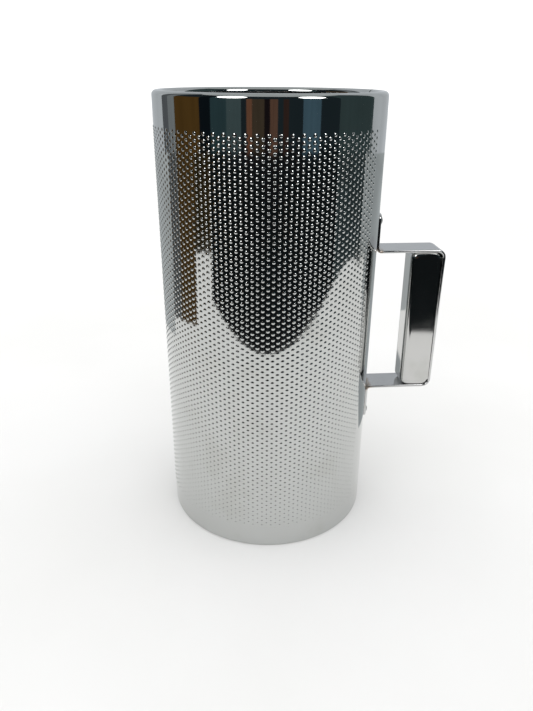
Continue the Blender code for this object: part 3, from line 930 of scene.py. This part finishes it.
def screws(material):
    """Round-headed screws through the strap's outer run into the grip."""
    base = strap_high.x - AXIS.x
    tip = base - SCREW_LENGTH
    profile = [(0.0, tip), (SCREW_SHANK / 2, tip), (SCREW_SHANK, tip + SCREW_SHANK), (SCREW_SHANK, base)]
    profile += [(SCREW_HEAD, base), (SCREW_HEAD, base + SCREW_CHEEK)]
    profile += dome_points(SCREW_HEAD, base + SCREW_DOME_BASE, SCREW_DOME, DOME_STEPS)[1:]
    top = profile[-1][1]
    for level in ("upper", "lower"):
        node = f"grip_screw_{level}"
        name = f"screw_{level}"
        mesh = cut(smooth_mesh(name, spun(profile, SPUN_STEPS)), *drive_recess(top))
        shade_round(mesh, 35.0)
        stand_along_radius(mesh, 0.0, middle_of(node).z)
        object_from(name, mesh, material, "screw_steel", node)


# ---- grate ----


def wire_along(start, end, radius, name):
    """A straight round wire with slightly rounded cut ends."""
    length = (end - start).length
    edge = 0.35 * radius
    profile = [(0.0, 0.0)] + bend(radius - edge, edge, edge, -90, 0, 4)
    profile += bend(radius - edge, length - edge, edge, 0, 90, 4) + [(0.0, length)]
    mesh = smooth_mesh(name, spun(profile, WIRE_SIDES), 50.0)
    turn = (end - start).to_track_quat("Z", "Y").to_matrix().to_4x4()
    mesh.transform(Matrix.Translation(start) @ turn)
    return mesh


def grate(material):
    """The ring, its bars, the bars that cross under them, and a bead of weld wherever two meet."""
    wire = (ring_high.z - ring_low.z) / 2
    ring_radius = (ring_high.y - ring_low.y) / 2 - wire
    ring_height = (ring_high.z + ring_low.z) / 2
    patch = Patchwork()
    section = arc_run((ring_radius, ring_height), wire, 0.0, 360.0, WIRE_SIDES)
    lathe(patch, [section], np.linspace(0.0, 2 * math.pi, RING_STEPS + 1))
    object_from("grate_ring_wire", patch.mesh("grate_ring_wire"), material, "grate_wire", "grate_ring")
    welds = bmesh.new()
    bars = sorted(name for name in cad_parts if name.startswith("grate_bar_"))
    crosses = [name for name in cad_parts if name.startswith("grate_cross_bar_")]
    for node in bars + crosses:
        low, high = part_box(node)
        middle = (low + high) / 2
        along_x = high.x - low.x > high.y - low.y
        radius = (high.z - low.z) / 2
        half = (high - low) / 2
        step = Vector((half.x, 0.0, 0.0)) if along_x else Vector((0.0, half.y, 0.0))
        name = node.replace("grate_", "wire_")
        mesh = wire_along(middle - step, middle + step, radius, name)
        object_from(name, mesh, material, "grate_wire", node)
        across = middle.y if along_x else middle.x - AXIS.x
        for side in (-1, 1):
            reach = side * (math.sqrt(ring_radius**2 - across**2) - (0.0 if along_x else wire + radius * 0.4))
            if along_x:
                spot = Vector((AXIS.x + reach, across, (ring_height + middle.z) / 2))
            else:
                spot = Vector((middle.x, reach, ring_height))
            weld_bead(welds, spot, BEAD_AT_RING)
    for bar in bars:
        for cross in crosses:
            above, below = middle_of(bar), middle_of(cross)
            weld_bead(welds, Vector((below.x, above.y, (above.z + below.z) / 2)), BEAD_AT_CROSSING)
    object_from("grate_weld_beads", smooth_mesh("grate_weld_beads", welds), material, "grate_wire")


def weld_bead(shape, where, radius):
    """A flattened blob of weld metal where two wires cross."""
    flattened = Matrix.Translation(where) @ Matrix.Diagonal(BEAD_SHAPE)
    bmesh.ops.create_icosphere(shape, subdivisions=3, radius=radius, matrix=flattened)


def clips(material):
    """The clips keep their CAD shape, with softened sheet edges."""
    for name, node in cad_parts.items():
        if name.startswith("grate_clip_"):
            node.data.materials.clear()
            node.data.materials.append(material)
            soften = soft_edges(node, "soft_edges", CLIP_EDGE, 2, "ANGLE")
            soften.angle_limit = math.radians(50.0)


# ---- camera and stage ----


CAMERA_LENS = 31.51
CAMERA_PLACE = Vector((-0.0376, -0.4296, 0.3161))  # from the cylinder's axis at the floor
CAMERA_PAN = math.radians(-4.845)
CAMERA_TILT = math.radians(90.0 - 24.62)
CAMERA_ROLL = 0.0070


def make_camera():
    """A camera close in front and just above the rim, looking down at the cylinder."""
    data = bpy.data.cameras.new("camera")
    data.sensor_width = 36.0
    data.lens = CAMERA_LENS
    camera = add_object("camera", data)
    turn = Matrix.Rotation(CAMERA_PAN, 4, "Z") @ Matrix.Rotation(CAMERA_TILT, 4, "X")
    turn = turn @ Matrix.Rotation(CAMERA_ROLL, 4, "Z")
    camera.matrix_world = Matrix.Translation(AXIS + CAMERA_PLACE) @ turn
    data.clip_start = 0.01
    bpy.context.scene.camera = camera


# The reflected room. Azimuths are in degrees from the camera's side, positive to its right.
CAMERA_SIDE = math.radians(-5.0)
TABLE_HALF_DEPTH, TABLE_HALF_WIDTH = 0.41, 0.80
ROOM_RADIUS = 2.4
ROOM_OUTSIDE = 1.1 * ROOM_RADIUS
ROOM_TOP = 3.6
ROOM_DARK = (0.014, 0.022, 0.026)
ROOF_COLOUR = (0.50, 0.53, 0.54)
ROOF_SIDES = 24
CARD_STEP, GROUND_STEP = 4, 3
GROUND_HEIGHT = 1 * MM
# The ground round the pale table top: name, start, end, colour, and where it starts if not at its edge.
GROUND_SECTORS = (
    ("front", -57, 67, (0.008, 0.01, 0.011), None),
    ("right", 67, 104, (0.03, 0.042, 0.045), None),
    ("left", -76, -57, (0.03, 0.022, 0.01), 0.85),
    ("amber", -99, -76, (0.075, 0.042, 0.012), 0.47),
    ("edge", -114, -99, (0.09, 0.096, 0.1), 0.47),
    ("pale_left", -180, -114, (0.5, 0.53, 0.54), 0.4),
    ("pale_right", 104, 112, (0.42, 0.45, 0.46), 0.8),
    ("pale_back", 112, 180, (0.38, 0.41, 0.42), 0.16),
)
# The cards round the room: name, start, end, top, colour.
ROOM_CARDS = (
    ("backdrop", 113, 238, 3.6, (0.55, 0.58, 0.61)),
    ("left_edge", -122, -111, 3.6, (0.11, 0.12, 0.13)),
    ("left_edge_grey", -111, -100, 3.6, (0.22, 0.24, 0.25)),
    ("amber", -100, -68, 1.0, (0.085, 0.045, 0.012)),
    ("left_black", -68, -56, 2.0, (0.005, 0.008, 0.011)),
    ("left_teal", -56, -40, 1.6, (0.027, 0.053, 0.06)),
    ("left_teal_light", -40, -26, 1.6, (0.06, 0.09, 0.095)),
    ("copper_left", -21, -16, 0.55, (0.165, 0.075, 0.044)),
    ("brown", -16, -5, 0.55, (0.057, 0.042, 0.028)),
    ("middle_black", -5, 0, 0.55, (0.011, 0.008, 0.009)),
    ("copper_right", 0, 7, 0.55, (0.114, 0.062, 0.042)),
    ("brown_right", 12, 17, 0.55, (0.038, 0.021, 0.017)),
    ("slate", 30, 47, 1.6, (0.06, 0.11, 0.145)),
    ("right_grey", 67, 113, 3.6, (0.04, 0.062, 0.064)),
)
SOFTBOX_RISE = math.radians(38.0)
SOFTBOX_DISTANCE = 2.0
SOFTBOX_HEIGHT = 0.95
SOFTBOX_SIDES = 32
SOFTBOX_COLOUR = (6.0, 6.0, 6.0)
FLOOR_HALF_SIDE = 5.0
FLOOR_DROP = 0.1 * MM
WORLD_STRENGTH = 1.22


def emitter(name, colour, uneven=0.25):
    """A plain glowing card, a little uneven."""
    nodes = Nodes(name)
    dark, bright = (tuple(part * share for part in colour) for share in (1 - uneven, 1 + uneven))
    noise = nodes.add("TexNoise", {"Scale": 3.0})
    glow = nodes.add("Emission", {"Color": nodes.mix(noise.outputs["Fac"], dark, bright)})
    nodes.link(glow.outputs["Emission"], nodes.tree.nodes["Material Output"].inputs["Surface"])
    nodes.tree.nodes.remove(nodes.shader)
    return nodes.material


def stage_piece(name, points, faces, material, only_reflected=True):
    """Add a piece of the surroundings. Most of them only reflections see."""
    mesh = bpy.data.meshes.new(name)
    mesh.from_pydata(points, [], faces)
    mesh.materials.append(material)
    piece = add_object(name, mesh)
    piece.visible_camera = piece.visible_diffuse = piece.visible_shadow = not only_reflected


def towards(azimuth, distance, height):
    """A point of the room, at an azimuth in degrees from the camera's side."""
    angle = CAMERA_SIDE + math.radians(azimuth)
    return AXIS.x + distance * math.sin(angle), -distance * math.cos(angle), height


def curved_strip(name, start, end, degrees, edges, colour):
    """A glowing strip from one azimuth to another. edges gives its two points at an azimuth."""
    steps = max(2, int((end - start) / degrees))
    points, faces = [], []
    for step in range(steps + 1):
        points += edges(start + (end - start) * step / steps)
    for step in range(steps):
        faces.append((2 * step, 2 * step + 1, 2 * step + 3, 2 * step + 2))
    stage_piece(name, points, faces, emitter(name, colour))


def room_wall(name, start, end, top, colour, radius=ROOM_RADIUS):
    """A curved card that stands on the ground."""

    def edges(azimuth):
        return towards(azimuth, radius, 0.0), towards(azimuth, radius, top)

    curved_strip(f"card_{name}", start, end, CARD_STEP, edges, colour)


def table_edge(azimuth):
    """How far the round table top reaches from the axis."""
    angle = math.radians(azimuth)
    return 1 / math.hypot(math.cos(angle) / TABLE_HALF_DEPTH, math.sin(angle) / TABLE_HALF_WIDTH)


def ground(name, start, end, colour, near):
    """A sector of ground, from the table's edge or a given distance out to the room's wall."""

    def edges(azimuth):
        inner = towards(azimuth, near or table_edge(azimuth), GROUND_HEIGHT)
        return inner, towards(azimuth, ROOM_OUTSIDE, GROUND_HEIGHT)

    curved_strip(f"ground_{name}", start, end, GROUND_STEP, edges, colour)


def room_roof():
    points = [towards(0.0, 0.0, ROOM_TOP)]
    for step in range(ROOF_SIDES + 1):
        points.append(towards(-180.0 + 360.0 * step / ROOF_SIDES, ROOM_OUTSIDE, ROOM_TOP))
    faces = [(0, step + 1, step + 2) for step in range(ROOF_SIDES)]
    stage_piece("roof", points, faces, emitter("roof", ROOF_COLOUR))


def softbox(name, azimuth, width):
    """A bright oval light above and in front, that the chrome shows as a white patch."""
    across, rise = SOFTBOX_DISTANCE * math.cos(SOFTBOX_RISE), SOFTBOX_DISTANCE * math.sin(SOFTBOX_RISE)
    centre = Vector(towards(azimuth, across, rise))
    back = (centre - Vector((AXIS.x, 0.0, BODY_HEIGHT / 2))).normalized()
    side = back.cross(Vector((0.0, 0.0, 1.0))).normalized()
    up = side.cross(back)
    points = []
    for step in range(SOFTBOX_SIDES):
        angle = 2 * math.pi * step / SOFTBOX_SIDES
        points.append(centre + side * width / 2 * math.cos(angle) + up * SOFTBOX_HEIGHT / 2 * math.sin(angle))
    stage_piece(name, points, [list(range(SOFTBOX_SIDES))], emitter(name, SOFTBOX_COLOUR, 0.03))


def floor_material():
    nodes = Nodes("stage_floor")
    tone = nodes.mix(nodes.range(nodes.noise(4.0, 3.0), 0.3, 0.7), (0.83, 0.83, 0.82), (0.86, 0.86, 0.855))
    nodes.link(tone, nodes.shader.inputs["Base Color"])
    nodes.shader.inputs["Roughness"].default_value = 0.9
    nodes.shader.inputs["Specular IOR Level"].default_value = 0.0
    return nodes.material


def make_stage():
    side = FLOOR_HALF_SIDE
    corners = [(x, y, -FLOOR_DROP) for x, y in ((-side, -side), (side, -side), (side, side), (-side, side))]
    stage_piece("floor", corners, [(0, 1, 2, 3)], floor_material(), False)
    for sector in GROUND_SECTORS:
        ground(*sector)
    room_wall("room_dark", -180.0, 180.0, ROOM_TOP, ROOM_DARK, ROOM_OUTSIDE)
    for card in ROOM_CARDS:
        room_wall(*card)
    room_roof()
    softbox("softbox_left", -38.0, 0.85)
    softbox("softbox_right", 42.0, 0.75)

    world = bpy.data.worlds.new("studio")
    bpy.context.scene.world = world
    world.use_nodes = True
    background = world.node_tree.nodes["Background"]
    background.inputs["Color"].default_value = (1.0, 1.0, 1.0, 1.0)
    background.inputs["Strength"].default_value = WORLD_STRENGTH
    bpy.context.scene.view_settings.view_transform = "Standard"


def main():
    make_camera()
    make_stage()
    # painted light: a paler colour for the wall's inner face, to brighten the dark inside
    painted_light_inside = (0.78, 0.78, 0.77)
    body_chrome = chrome(
        "body_chrome", (0.55, 0.56, 0.55), (0.50, 0.505, 0.485), 0.045, 0.05 * MM, painted_light_inside
    )
    arms = (grip_high.z + STRAP_THICKNESS, grip_low.z - STRAP_THICKNESS)
    wall_reach = AXIS.x + BODY_RADIUS
    strap_chrome = stained_chrome(
        "strap_chrome", (0.57, 0.57, 0.57), (0.38, 0.32, 0.27), 0.07, arms, wall_reach
    )
    grip_chrome = chrome("grip_chrome", (0.57, 0.57, 0.56), (0.50, 0.50, 0.48), 0.06, 0.06 * MM)
    wall(body_chrome)
    handle_strap(strap_chrome)
    handle_grip(grip_chrome)
    rivets(plated_steel("rivet_steel", (0.50, 0.50, 0.49), (0.38, 0.36, 0.33), 0.20, 900.0))
    screws(plated_steel("screw_steel", (0.48, 0.48, 0.48), (0.36, 0.36, 0.36), 0.22, 900.0))
    grate(plated_steel("grate_wire", (0.46, 0.46, 0.45), (0.33, 0.32, 0.30), 0.28, 700.0))
    clips(plated_steel("clip_sheet", (0.50, 0.50, 0.49), (0.40, 0.39, 0.37), 0.26, 500.0))


main()
